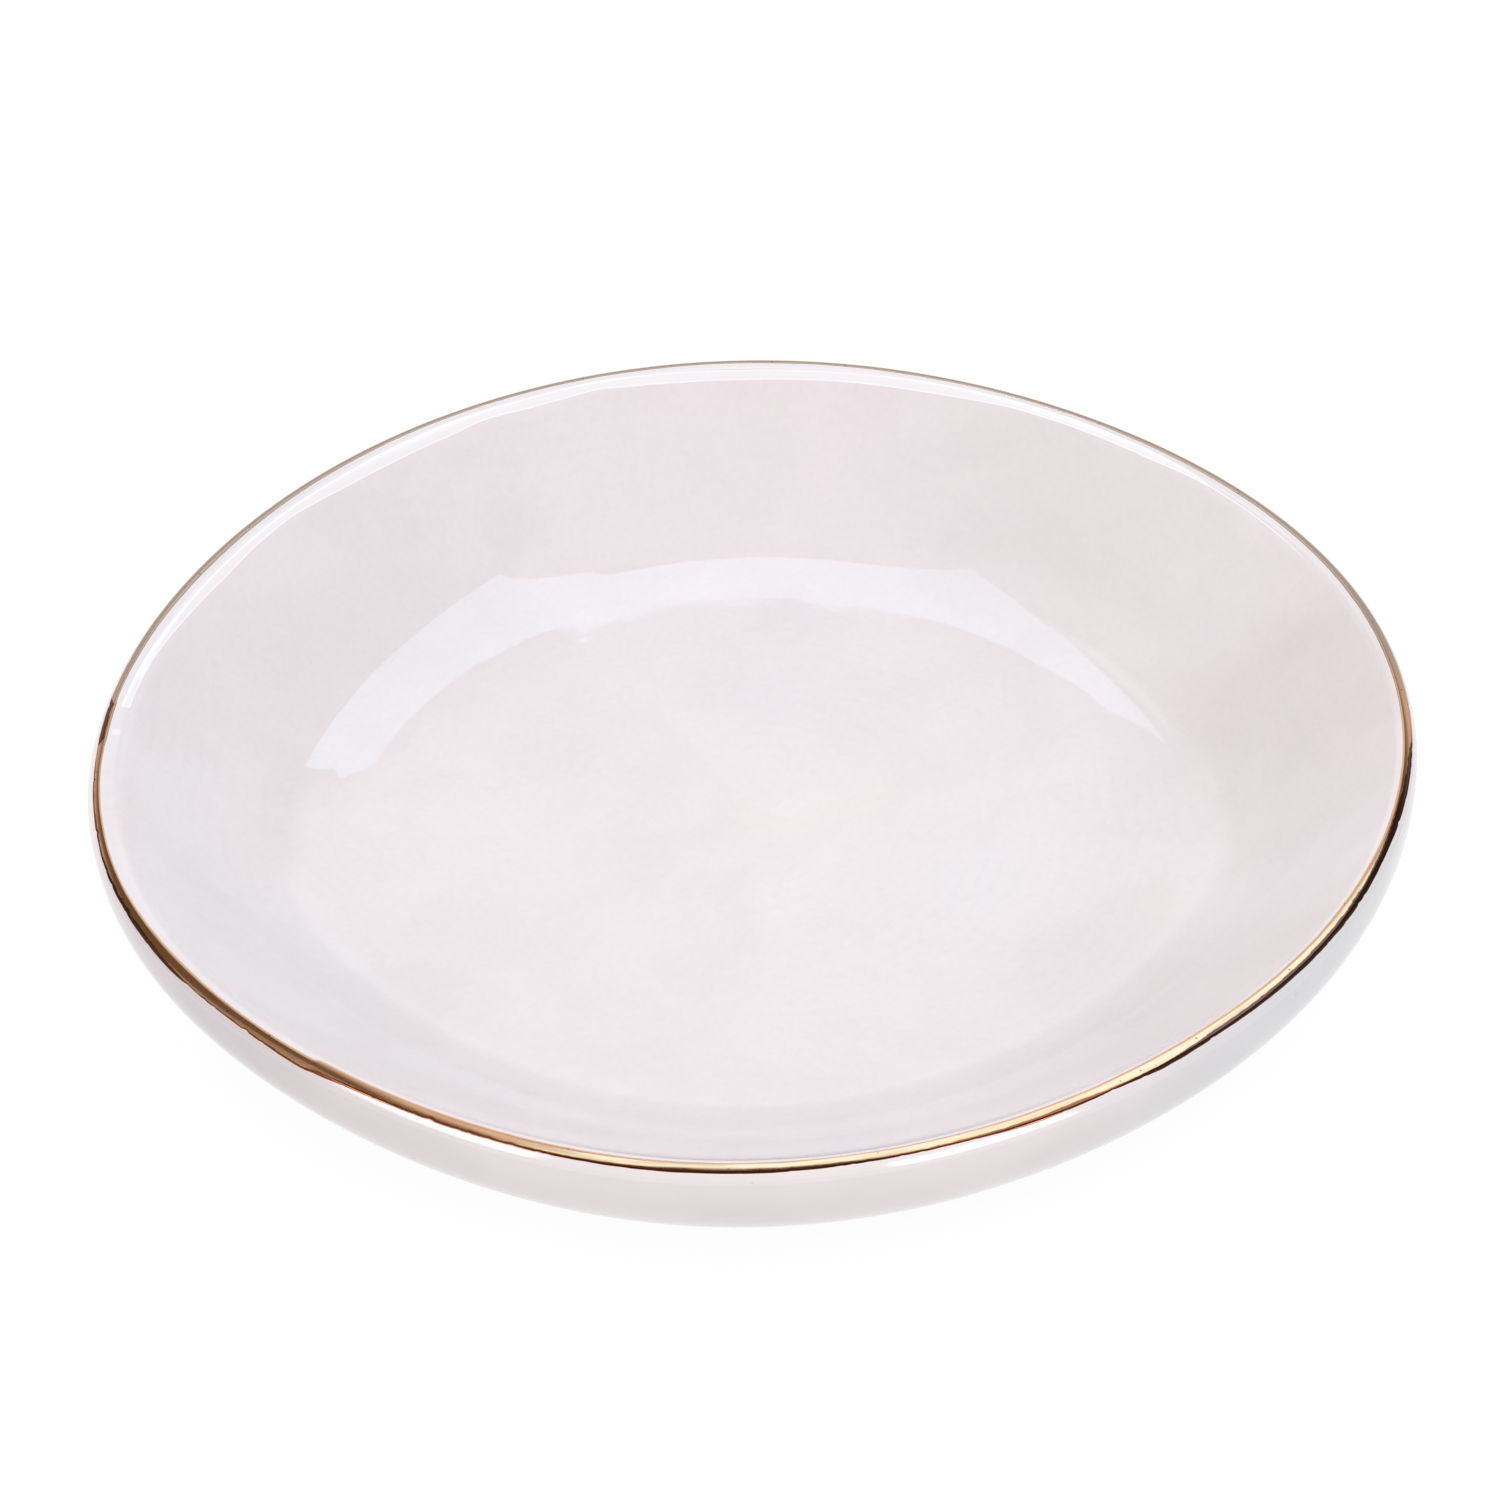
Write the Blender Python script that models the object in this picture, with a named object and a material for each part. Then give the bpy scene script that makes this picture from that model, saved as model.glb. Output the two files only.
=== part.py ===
"""A shallow hand-formed jewelry dish: fired clay body, poured and dipped glaze, and a gilded lip.

The dish rests on its foot ring at height zero, with its middle on the Z axis.
Every layer is turned from one section, so a changed size moves the layers together.
"""

import math

import bmesh
import bpy

MM = 0.001

# Overall sizes
dish_diameter = 140.0 * MM  # across the fullest part of the wall
dish_height = 20.0 * MM  # table to the crest of the lip
floor_thickness = 5.1 * MM  # middle of the floor, from the well to the inside

# Coats on the clay
glaze_thickness = 0.5 * MM
coat_gap = 0.3 * MM  # clearance between a coat and what it lies on or ends at
gold_width = 1.7 * MM  # measured over the lip

# Lip
lip_inset = 1.7 * MM  # fullest part of the wall to the crest, inwards
lip_drop = 2.0 * MM  # crest to the fullest part of the wall, downwards
lip_roundness = 4.5 * MM  # radius of the lip's gilded top
lip_squareness = 3.5  # 2 turns into the wall as an ellipse does, more turns later and quicker
lip_crown_width = 0.9 * MM  # gentle slope inside the crest
lip_roll_width = 1.3 * MM  # rounded edge between the lip and the inner wall
lip_crown_slope = math.radians(10.0)

# Inside of the dish, from the lip inwards; the nearly flat middle of the floor has what is left
steep_wall_width = 10.3 * MM
low_wall_width = 10.2 * MM  # lower part of the wall, where it steepens fastest
cove_width = 5.0 * MM  # first turn from the floor into the wall
floor_edge_width = 5.3 * MM
floor_slope = math.radians(2.0)
floor_edge_slope = math.radians(2.4)
wall_foot_slope = math.radians(4.6)
wall_bend_slope = math.radians(30.4)
wall_top_slope = math.radians(42.4)

# Underside and foot ring
foot_inset = 28.0 * MM  # fullest part of the wall to the outside of the foot ring
underside_width = 2.1 * MM  # level underside between the foot ring's fillet and the sweep of the wall
foot_height = 2.0 * MM  # table to the underside beside the foot ring
foot_width = 3.0 * MM
foot_edge = 0.5 * MM  # chamfer on both edges of the foot ring
foot_fillet = 0.6 * MM
bare_foot_height = 1.0 * MM  # wiped free of glaze
well_depth = 1.2 * MM  # hollow inside the foot ring

# Hand-formed outline: how far the rim swells with each count of lobes, and where a lobe points
swell_of_three = 0.21 * MM
swell_of_four = 0.59 * MM
swell_of_five = 0.17 * MM
swell_of_six = 0.11 * MM
outline_lobes = (
    (3, swell_of_three, math.radians(-12.0)),
    (4, swell_of_four, math.radians(6.0)),
    (5, swell_of_five, math.radians(-23.0)),
    (6, swell_of_six, math.radians(22.0)),
)
lip_lean_x = -0.28 * MM  # the lip sits this far off the middle of the foot
lip_lean_y = -0.60 * MM

# Fineness of the turned surfaces
turn_steps = 64
floor_steps = 2
curve_steps = 2
wall_steps = 5
lip_steps = 5
sweep_steps = 7
merge_distance = 0.001 * MM
sharp_angle = math.radians(40.0)

dish_radius = dish_diameter / 2
crest_radius = dish_radius - lip_inset
lip_sag = lip_inset**2 / (2 * lip_roundness)  # how far the roundness alone brings the lip's outer edge down
coat = glaze_thickness + coat_gap
floor_height = well_depth + floor_thickness
foot_outer_radius = dish_radius - foot_inset
wall_sweep = foot_inset - coat - foot_fillet - underside_width  # how far the wall curves in underneath


def clear_scene():
    for thing in list(bpy.data.objects):
        bpy.data.objects.remove(thing)


def inside_run():
    """The finished inside in section, from the middle of the floor up to the crest of the lip."""
    wall_top = crest_radius - lip_crown_width - lip_roll_width
    wall_bend = wall_top - steep_wall_width
    wall_foot = wall_bend - low_wall_width
    floor_edge = wall_foot - cove_width
    stops = (
        (floor_edge - floor_edge_width, floor_slope, floor_steps),
        (floor_edge, floor_edge_slope, curve_steps),
        (wall_foot, wall_foot_slope, curve_steps),
        (wall_bend, wall_bend_slope, curve_steps),
        (wall_top, wall_top_slope, wall_steps),
        (wall_top + lip_roll_width, lip_crown_slope, curve_steps),
        (crest_radius, 0.0, curve_steps),
    )
    run = [(0.0, 0.0)]
    slope = 0.0
    for stop_radius, stop_slope, steps in stops:
        start_radius, start_slope = run[-1][0], slope
        for step in range(1, steps + 1):
            share = step / steps
            radius = start_radius + (stop_radius - start_radius) * share
            sine = math.sin(start_slope) + (math.sin(stop_slope) - math.sin(start_slope)) * share
            new_slope = math.asin(sine)
            rise = (radius - run[-1][0]) * math.tan((slope + new_slope) / 2)
            run.append((radius, run[-1][1] + rise))
            slope = new_slope
    stretch = (dish_height - floor_height) / run[-1][1]
    return [(radius, floor_height + height * stretch) for radius, height in run]


def quarter(steps):
    """Angles of a quarter turn, after its start."""
    return [math.pi / 2 * step / steps for step in range(1, steps + 1)]


def outside_run():
    """The finished outside in section, from the crest of the lip down to the end of the glaze."""
    full_height = dish_height - lip_drop
    run = [(crest_radius, dish_height)]
    for angle in quarter(lip_steps):
        across = math.sin(angle) ** (2 / lip_squareness)
        up = max(0.0, math.cos(angle)) ** (2 / lip_squareness)
        fall = lip_sag * across**2 + (lip_drop - lip_sag) * (1 - up)
        run.append((crest_radius + lip_inset * across, dish_height - fall))
    for angle in quarter(sweep_steps):
        radius = dish_radius - wall_sweep * (1 - math.cos(angle))
        run.append((radius, full_height - (full_height - foot_height) * math.sin(angle)))
    side = foot_outer_radius + coat
    run.append((side + foot_fillet, foot_height))
    for angle in quarter(curve_steps):
        radius = side + foot_fillet * (1 - math.sin(angle))
        run.append((radius, foot_height - foot_fillet * (1 - math.cos(angle))))
    run.append((side, bare_foot_height))
    return run


def well_run():
    """The finished hollow inside the foot ring, from the ring's side up and in to the middle."""
    side = foot_outer_radius - foot_width - coat
    run = [(side, well_depth - foot_fillet)]
    for angle in quarter(curve_steps):
        radius = side - foot_fillet * (1 - math.cos(angle))
        run.append((radius, well_depth - foot_fillet * (1 - math.sin(angle))))
    run.append((0.0, well_depth))
    return run


def direction(start, end):
    """Unit direction in section from one point to another, or None if they are the same point."""
    length = math.dist(start, end)
    return None if length == 0 else ((end[0] - start[0]) / length, (end[1] - start[1]) / length)


def sunk(run, depth):
    """The same run moved into the material, which lies on the right of its direction."""
    moved = []
    for index, point in enumerate(run):
        before = run[max(index - 1, 0)]
        after = run[min(index + 1, len(run) - 1)]
        along = [turn for turn in (direction(before, point), direction(point, after)) if turn]
        normal_r = -sum(turn[1] for turn in along) / len(along)
        normal_z = sum(turn[0] for turn in along) / len(along)
        spread = normal_r**2 + normal_z**2
        radius = point[0] - normal_r * depth / spread if point[0] > 0 else 0.0
        moved.append((radius, point[1] - normal_z * depth / spread))
    return moved


def point_at(run, distance):
    """The point at a distance measured along a run."""
    for start, stop in zip(run, run[1:]):
        step = math.dist(start, stop)
        if distance < step:
            share = distance / step
            return start[0] + (stop[0] - start[0]) * share, start[1] + (stop[1] - start[1]) * share
        distance -= step
    return run[-1]


def stretch_of(run, begin, end):
    """The part of a run between two distances measured along it."""
    kept = [point_at(run, begin)]
    walked = 0.0
    for start, stop in zip(run, run[1:]):
        walked += math.dist(start, stop)
        if begin < walked < end:
            kept.append(stop)
    return kept + [point_at(run, end)]


def length_of(run):
    return sum(math.dist(start, stop) for start, stop in zip(run, run[1:]))


def skin(run):
    """A coat of glaze thickness in section, under a finished run."""
    return run + sunk(run, glaze_thickness)[::-1]


def clay_section():
    """The clay in section: everything under the coats, and the bare foot ring."""
    foot_inner_radius = foot_outer_radius - foot_width
    inner = sunk(inside_run(), coat)
    outer = sunk(outside_run(), coat)
    foot = [
        (foot_outer_radius, foot_edge),
        (foot_outer_radius - foot_edge, 0.0),
        (foot_inner_radius + foot_edge, 0.0),
        (foot_inner_radius, foot_edge),
    ]
    return inner[:-1] + outer + foot + sunk(well_run(), coat)


def swell(angle):
    """How far the hand-formed rim stands out beyond a true circle."""
    return sum(size * math.cos(count * (angle - aim)) for count, size, aim in outline_lobes)


def hand_formed(point):
    """A point of the true turned shape, moved to where the hand-formed dish has it."""
    radius = math.hypot(point[0], point[1])
    angle = math.atan2(point[1], point[0])
    rim_share = (radius / dish_radius) ** 2
    height_share = (point[2] / dish_height) ** 2
    radius += swell(angle) * rim_share
    x = radius * math.cos(angle) + lip_lean_x * height_share
    y = radius * math.sin(angle) + lip_lean_y * height_share
    return x, y, point[2]


def outline_middle():
    """Middle of the box around the fullest part of the wall."""
    full_height = dish_height - lip_drop
    ring = []
    for step in range(turn_steps):
        angle = 2 * math.pi * step / turn_steps
        ring.append(hand_formed((dish_radius * math.cos(angle), dish_radius * math.sin(angle), full_height)))
    xs = [point[0] for point in ring]
    ys = [point[1] for point in ring]
    return (min(xs) + max(xs)) / 2, (min(ys) + max(ys)) / 2


def material(name, colour, roughness, metallic):
    made = bpy.data.materials.new(name)
    made.use_nodes = True
    shader = made.node_tree.nodes["Principled BSDF"]
    shader.inputs["Base Color"].default_value = (*colour, 1.0)
    shader.inputs["Roughness"].default_value = roughness
    shader.inputs["Metallic"].default_value = metallic
    return made


def turned(name, section, finish, carrier):
    """One sub-part, turned from its section about the Z axis and then shaped by hand."""
    shape = bmesh.new()
    corners = [shape.verts.new((radius, 0.0, height)) for radius, height in section]
    for start, stop in zip(corners, corners[1:] + corners[:1]):
        if start.co.x > 0 or stop.co.x > 0:
            shape.edges.new((start, stop))
    outline = shape.verts[:] + shape.edges[:]
    bmesh.ops.spin(
        shape, geom=outline, cent=(0, 0, 0), axis=(0, 0, 1), angle=2 * math.pi, steps=turn_steps, use_merge=True
    )
    bmesh.ops.remove_doubles(shape, verts=shape.verts, dist=merge_distance)
    middle_x, middle_y = outline_middle()
    for corner in shape.verts:
        x, y, z = hand_formed(corner.co)
        corner.co = (x - middle_x, y - middle_y, z)
    bmesh.ops.recalc_face_normals(shape, faces=shape.faces)
    mesh = bpy.data.meshes.new(name)
    shape.to_mesh(mesh)
    shape.free()
    mesh.materials.append(finish)
    mesh.shade_smooth()
    mesh.set_sharp_from_angle(angle=sharp_angle)
    piece = bpy.data.objects.new(name, mesh)
    bpy.context.scene.collection.objects.link(piece)
    piece.parent = carrier
    return piece


def build():
    clear_scene()
    dish = bpy.data.objects.new("jewelry_dish", None)
    bpy.context.scene.collection.objects.link(dish)

    fired_clay = material("fired_clay", (0.80, 0.76, 0.72), 0.75, 0.0)
    pearl_glaze = material("pearl_glaze", (0.83, 0.77, 0.79), 0.08, 0.0)
    white_glaze = material("white_glaze", (0.80, 0.77, 0.78), 0.10, 0.0)
    well_glaze = material("well_glaze", (0.80, 0.78, 0.77), 0.15, 0.0)
    bright_gold = material("bright_gold", (0.72, 0.49, 0.26), 0.18, 1.0)

    inside = inside_run()
    outside = outside_run()
    inside_end = length_of(inside) - coat_gap / 2
    gold_start = coat_gap / 2
    gold_end = gold_start + gold_width
    outside_start = gold_end + coat_gap

    turned("clay_body", clay_section(), fired_clay, dish)
    turned("inside_glaze", skin(stretch_of(inside, 0.0, inside_end)), pearl_glaze, dish)
    turned("gold_rim_band", skin(stretch_of(outside, gold_start, gold_end)), bright_gold, dish)
    dipped = stretch_of(outside, outside_start, length_of(outside))
    turned("outside_glaze", skin(dipped), white_glaze, dish)
    turned("foot_well_glaze", skin(well_run()), well_glaze, dish)


build()
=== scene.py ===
"""The looks of a shallow hand-formed jewelry dish: poured pearl glaze, dipped white glaze, a gilded lip."""

import math

import bpy
import numpy as np
from mathutils import Matrix, Vector, noise


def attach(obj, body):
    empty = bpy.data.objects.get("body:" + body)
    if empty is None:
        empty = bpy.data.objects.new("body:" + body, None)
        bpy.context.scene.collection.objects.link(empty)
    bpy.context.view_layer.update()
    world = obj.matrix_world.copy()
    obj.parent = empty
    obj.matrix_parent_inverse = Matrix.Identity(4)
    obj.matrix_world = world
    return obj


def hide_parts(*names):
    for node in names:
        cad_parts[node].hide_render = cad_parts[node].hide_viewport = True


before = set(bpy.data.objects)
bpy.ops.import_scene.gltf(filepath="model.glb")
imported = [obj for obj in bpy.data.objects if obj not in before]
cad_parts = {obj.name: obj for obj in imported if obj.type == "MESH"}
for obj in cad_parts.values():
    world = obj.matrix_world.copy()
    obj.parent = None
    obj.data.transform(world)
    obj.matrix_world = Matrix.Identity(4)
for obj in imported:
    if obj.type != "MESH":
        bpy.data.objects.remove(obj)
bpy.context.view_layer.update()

MM = 0.001

# Sizes of the solid model
dish_radius = 70.0 * MM
dish_height = 20.0 * MM
floor_thickness = 5.1 * MM
coat = 0.8 * MM  # finished surface to the clay
lip_inset = 1.7 * MM
lip_inset_front = 0.3 * MM  # how much further in the crest lies in front
lip_drop = 2.0 * MM  # from the crest down to the fullest part of the wall
lip_roundness = 4.5 * MM  # radius of the gilded top
lip_roundness_front = 20.0 * MM
lip_squareness = 3.5  # 2 is an ellipse, more has a quicker turn into the wall
lip_squareness_front = 4.0
lip_crown_width = 0.9 * MM
lip_roll_width = 1.3 * MM
steep_wall_width = 10.3 * MM
low_wall_width = 10.2 * MM
cove_width = 5.0 * MM
floor_edge_width = 5.3 * MM
lip_crown_slope = math.radians(10.0)
wall_top_slope = math.radians(42.4)
wall_bend_slope = math.radians(30.4)
wall_foot_slope = math.radians(4.6)
floor_edge_slope = math.radians(2.4)
floor_slope = math.radians(2.0)
foot_inset = 28.0 * MM
underside_width = 2.1 * MM
foot_height = 2.0 * MM
foot_width = 3.0 * MM
foot_edge = 0.5 * MM
foot_edge_corner = 0.3  # how far its middle is drawn back, as a share of it
foot_fillet = 0.6 * MM
bare_foot_height = 1.0 * MM
well_depth = 1.2 * MM
lip_front = math.radians(-85.0)  # the middle of the stretch that is flat on top and bevelled
lip_front_fade = (0.1, 0.8)  # cosines from that middle between which the stretch begins
lip_bevel = (
    # the bevelled edge: distance out from the crest, slope in degrees and steps
    (0.14 * MM, -1.2, 3), (1.12 * MM, -5.4, 12), (1.29 * MM, -43.0, 6), (1.80 * MM, -51.0, 10),
    (2.0 * MM, -84.0, 8),
)
lip_broad = math.radians(115.0)  # where its inside is as broad as the sizes above say
lip_broad_fade = (-0.5, 0.35)  # cosines, as above
lip_narrow_share = 0.3  # how much of that breadth is left on the other side
outline_lobes = (
    # how often around, height and direction of each swell of the plan
    (3, 0.21 * MM, math.radians(-12.0)),
    (4, 0.59 * MM, math.radians(6.0)),
    (5, 0.17 * MM, math.radians(-23.0)),
    (6, 0.11 * MM, math.radians(22.0)),
)
lip_lean_x = -0.28 * MM
lip_lean_y = -0.60 * MM

floor_height = well_depth + floor_thickness
foot_outer_radius = dish_radius - foot_inset
wall_sweep = foot_inset - coat - foot_fillet - underside_width

# Gilding
gold_edges = (
    # angle in degrees, then millimetres from the mean crest to the inner and the outer edge,
    # and breadth of the dark line along the outer edge, which paints a dark reflection on thin gold
    (-180, 0.20, 0.95, 0.10), (-172, 0.22, 1.05, 0.24), (-166, 0.22, 1.20, 0.24),
    (-160, 0.20, 1.32, 0.38), (-154, 0.05, 1.42, 0.45), (-149, -0.05, 1.48, 0.40),
    (-146, -0.04, 1.28, 0.12), (-140, -0.03, 1.30, 0.14), (-135, -0.02, 1.45, 0.20),
    (-131.3, -0.04, 1.60, 0.25), (-130.5, -0.32, 1.44, 0.35), (-127, -0.35, 1.17, 0.35),
    (-120, -0.38, 1.02, 0.34), (-110, -0.38, 1.00, 0.32), (-100, -0.36, 1.07, 0.38),
    (-90, -0.40, 1.04, 0.36), (-82, -0.44, 0.87, 0.32), (-74, -0.38, 0.87, 0.34),
    (-68, -0.35, 1.12, 0.55), (-63, -0.40, 1.04, 0.55), (-60, -0.42, 0.97, 0.30),
    (-55, -0.48, 1.26, 0.47), (-48, -0.50, 1.14, 0.67), (-40, -0.35, 1.21, 0.72),
    (-30, -0.25, 1.21, 0.72), (-22, -0.12, 1.00, 0.66), (-14, 0.05, 1.08, 0.66),
    (-6, 0.15, 1.22, 0.40), (-4, 0.16, 1.25, 0.05), (0, 0.18, 1.35, 0.05),
    (12, 0.20, 1.45, 0.05), (30, 0.15, 1.45, 0.08), (50, 0.12, 1.40, 0.10),
    (75, 0.22, 1.35, 0.12), (95, 0.25, 1.35, 0.12), (115, 0.20, 1.35, 0.12),
    (135, 0.08, 1.35, 0.08), (150, 0.00, 1.35, 0.05), (160, 0.18, 1.30, 0.05),
    (168, 0.25, 1.15, 0.05), (172, 0.28, 1.10, 0.10), (173, 0.15, 1.05, 0.55),
    (178, 0.10, 1.00, 0.60), (179, 0.18, 0.95, 0.10),
)
gold_tones = (
    # angle in degrees, then -1 where the gold is dull, 1 where its dark edge line is red
    # and 0 where it is near black; that line is a painted dark reflection on thin gold
    (-180, -0.3), (-170, 0.0), (-144, 0.0), (-138, 1.0), (-62, 1.0), (-54, 0.0),
    (-6, 0.0), (14, -1.0), (164, -1.0), (176, -0.4), (180, -0.3),
)
gold_waver = 0.04 * MM  # of both edges, where the brush went
gold_nick = 0.12 * MM  # depth of the nicks in the outer edge
gold_nick_start = 0.25  # least wander that makes a nick
gold_proud = 0.03 * MM
gold_edge_rise = 6.0  # the band is full from the sixth part of its breadth on
gold_root = 0.10 * MM  # how deep the band's underside lies in the glaze
glaze_seam = 0.95 * MM  # where the inside and outside glaze meet, under the gold
slope_step = 0.05 * MM  # to the points on either side that tell which way a section runs

# Painted highlight: a lighter band with a bright edge along the far and left lip, between the lustre and
# the gilding, where the reflection of the softbox lies
highlight_band_edges = (
    # angle in degrees, then millimetres from the mean crest to the band's edge on the lustre and to its
    # edge on the lip
    (23, -1.10, -1.08), (26, -1.16, -1.00), (38, -1.15, -0.96), (42, -1.40, -0.60), (46, -1.68, -0.42),
    (55, -1.62, -0.38), (62, -1.62, -0.42), (68, -2.00, -0.50), (72, -2.15, -0.60), (80, -2.20, -0.85),
    (90, -2.38, -1.00), (96, -2.30, -0.80), (101, -2.05, -0.65), (104, -1.75, -0.45), (107, -2.05, -0.60),
    (111, -2.20, -0.80), (116, -1.95, -0.60), (120, -2.40, -0.65), (127, -2.62, -0.85), (133, -2.55, -1.00),
    (140, -2.00, -0.92), (146, -2.10, -1.00), (151, -2.35, -1.02), (156, -2.15, -1.00), (160, -1.90, -0.82),
    (165, -1.50, -0.60), (170, -1.40, -0.45), (174, -1.35, -0.35),
)
highlight_band_end = math.radians(173.3)
highlight_band_spot = (math.radians(177.0), -0.75 * MM, 0.55 * MM)  # angle, distance from the crest and radius
no_mark = -9.0  # a mark far outside the painted highlight band

# Fineness
turn_steps = 480
gold_steps = 1440
gold_lines = 21
outline_steps = 64
lip_steps = 36
seam_steps = 8
edge_steps = 30
wall_steps = 32
fillet_steps = 6
bead_steps = 4
room_rows = 45
room_columns = 180

# Ripples of the hand-formed clay: wavelength, direction and start
ripple_height = 0.0008 * MM
ripple_low = 1.5 * MM
ripple_full = 6.0 * MM
ripples = (
    (11.0 * MM, 0.30, 0.0), (14.0 * MM, 1.25, 1.9), (17.0 * MM, 2.20, 4.1), (21.0 * MM, 0.85, 2.7),
    (26.0 * MM, 2.75, 5.2), (13.0 * MM, 1.80, 3.3), (33.0 * MM, 1.45, 0.8), (9.0 * MM, 2.50, 1.1),
)
hand_swells = (
    # middle across and deep, reach and height of each broad low swell
    (48.0 * MM, -14.0 * MM, 32.0 * MM, 0.16 * MM),
    (-46.0 * MM, -16.0 * MM, 28.0 * MM, 0.09 * MM),
)


def smooth_step(low, high, value):
    share = min(1.0, max(0.0, (value - low) / (high - low)))
    return share * share * (3.0 - 2.0 * share)


class Lip:
    """The lip's section at one angle: flat on top in front, and broad inside on the far left."""

    def __init__(self, angle):
        front = smooth_step(*lip_front_fade, math.cos(angle - lip_front))
        broad = smooth_step(*lip_broad_fade, math.cos(angle - lip_broad))
        self.front = front
        self.shift = lip_inset_front * front
        self.inset = lip_inset + self.shift
        self.crest = dish_radius - self.inset
        bend = (1.0 - front) / lip_roundness + front / lip_roundness_front
        self.sag = self.inset**2 * bend / 2
        self.squareness = lip_squareness + (lip_squareness_front - lip_squareness) * front
        self.share = lip_narrow_share + (1.0 - lip_narrow_share) * broad


def eased_run(start, slope, stops):
    """Points from start, whose slope changes evenly to each stop's slope at its radius."""
    run = [start]
    for stop_radius, stop_slope, steps in stops:
        start_radius, start_sine = run[-1][0], math.sin(slope)
        for step in range(1, steps + 1):
            share = step / steps
            new_slope = math.asin(start_sine + (math.sin(stop_slope) - start_sine) * share)
            radius = start_radius + (stop_radius - start_radius) * share
            rise = (radius - run[-1][0]) * math.tan((slope + new_slope) / 2)
            run.append((radius, run[-1][1] + rise))
            slope = new_slope
    return run


def inside_run(lip, share=1.0):
    """The finished inside in section, from the middle of the floor to the crest of the lip."""
    wall_bend = lip.crest - lip_crown_width - lip_roll_width - steep_wall_width
    wall_foot = wall_bend - low_wall_width
    floor_edge = wall_foot - cove_width
    roll_end = lip.crest - lip_crown_width * share
    stops = (
        (floor_edge - floor_edge_width, floor_slope, 20),
        (floor_edge, floor_edge_slope, 8),
        (wall_foot, wall_foot_slope, 6),
        (wall_bend, wall_bend_slope, 10),
        (roll_end - lip_roll_width * share, wall_top_slope, 24),
        (roll_end, lip_crown_slope, 8),
        (lip.crest, 0.0, 10),
    )
    run = eased_run((0.0, 0.0), 0.0, stops)
    stretch = (dish_height - floor_height) / run[-1][1]
    return [(radius, floor_height + height * stretch) for radius, height in run]


def quarter(steps):
    """Angles of a quarter turn, after its start."""
    return [math.pi / 2 * step / steps for step in range(1, steps + 1)]


def lip_run(lip, bevelled=0.0):
    """The outside of the lip from its crest, rounded or with the bevelled edge that it has in front."""
    full_height = dish_height - lip_drop
    run = [(lip.crest, dish_height)]
    for angle in quarter(lip_steps):
        across = math.sin(angle) ** (2 / lip.squareness)
        up = math.cos(angle) ** (2 / lip.squareness) if angle < math.pi / 2 else 0.0
        fall = lip.sag * across**2 + (lip_drop - lip.sag) * (1 - up)
        run.append((lip.crest + lip.inset * across, dish_height - fall))
    if bevelled == 0.0:
        return run
    scale = lip.inset / lip_bevel[-1][0]
    stops = [(lip.crest + out * scale, math.radians(slope), steps) for out, slope, steps in lip_bevel]
    edge = eased_run((lip.crest, dish_height), 0.0, stops)
    edge.append((dish_radius, full_height))
    shares = np.linspace(0.0, 1.0, lip_steps + 1)
    round_lip = points_at(run, shares * lengths(run)[-1])
    sharp_lip = points_at(edge, shares * lengths(edge)[-1])
    return [tuple(point) for point in round_lip + (sharp_lip - round_lip) * bevelled]


def outside_run(lip, bevelled=0.0):
    """The finished outside in section, from the crest of the lip down to the end of the glaze."""
    full_height = dish_height - lip_drop
    run = lip_run(lip, bevelled)
    for angle in quarter(wall_steps):
        radius = dish_radius - wall_sweep * (1 - math.cos(angle))
        run.append((radius, full_height - (full_height - foot_height) * math.sin(angle)))
    side = foot_outer_radius + coat
    run.append((side + foot_fillet, foot_height))
    for angle in quarter(fillet_steps):
        radius = side + foot_fillet * (1 - math.sin(angle))
        run.append((radius, foot_height - foot_fillet * (1 - math.cos(angle))))
    return run


def well_run():
    """The finished hollow inside the foot ring, from the ring's side up and in to the middle."""
    side = foot_outer_radius - foot_width - coat
    run = []
    for angle in quarter(fillet_steps):
        radius = side - foot_fillet * (1 - math.cos(angle))
        run.append((radius, well_depth - foot_fillet * (1 - math.sin(angle))))
    for share in (0.85, 0.6, 0.3, 0.0):
        run.append((side * share, well_depth))
    return run


def sunk(run, depth):
    """The same run moved into the material, which lies on the right of its direction."""
    points = np.array(run)
    along = np.gradient(points, axis=0)
    along /= np.linalg.norm(along, axis=1)[:, None]
    moved = points + np.column_stack((along[:, 1], -along[:, 0])) * depth
    moved[points[:, 0] == 0.0, 0] = 0.0
    return [tuple(point) for point in moved]


def lengths(run):
    """Distance along a run at each of its points."""
    steps = np.linalg.norm(np.diff(np.array(run), axis=0), axis=1)
    return np.concatenate(([0.0], np.cumsum(steps)))


def points_at(run, distances):
    """Points at distances measured along a run."""
    points = np.array(run)
    walked = lengths(run)
    return np.column_stack([np.interp(distances, walked, points[:, axis]) for axis in (0, 1)])


def hand_formed(radius, angle, height):
    """Points of the true turned shape, moved to where the hand-formed dish has them."""
    swell = sum(size * np.cos(count * (angle - aim)) for count, size, aim in outline_lobes)
    radius = radius + swell * (radius / dish_radius) ** 2
    height_share = (height / dish_height) ** 2
    x = radius * np.cos(angle) + lip_lean_x * height_share
    y = radius * np.sin(angle) + lip_lean_y * height_share
    share = np.clip((height - ripple_low) / (ripple_full - ripple_low), 0.0, 1.0)
    for wavelength, aim, start in ripples:
        along = x * math.cos(aim) + y * math.sin(aim)
        height = height + ripple_height * share * np.sin(2 * math.pi * along / wavelength + start)
    for across, deep, reach, swell in hand_swells:
        away = np.clip(np.hypot(x - across, y - deep) / reach, 0.0, 1.0)
        height = height + swell * share * (1.0 - away**2) ** 2
    return np.stack((x, y, height), axis=-1)


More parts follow.
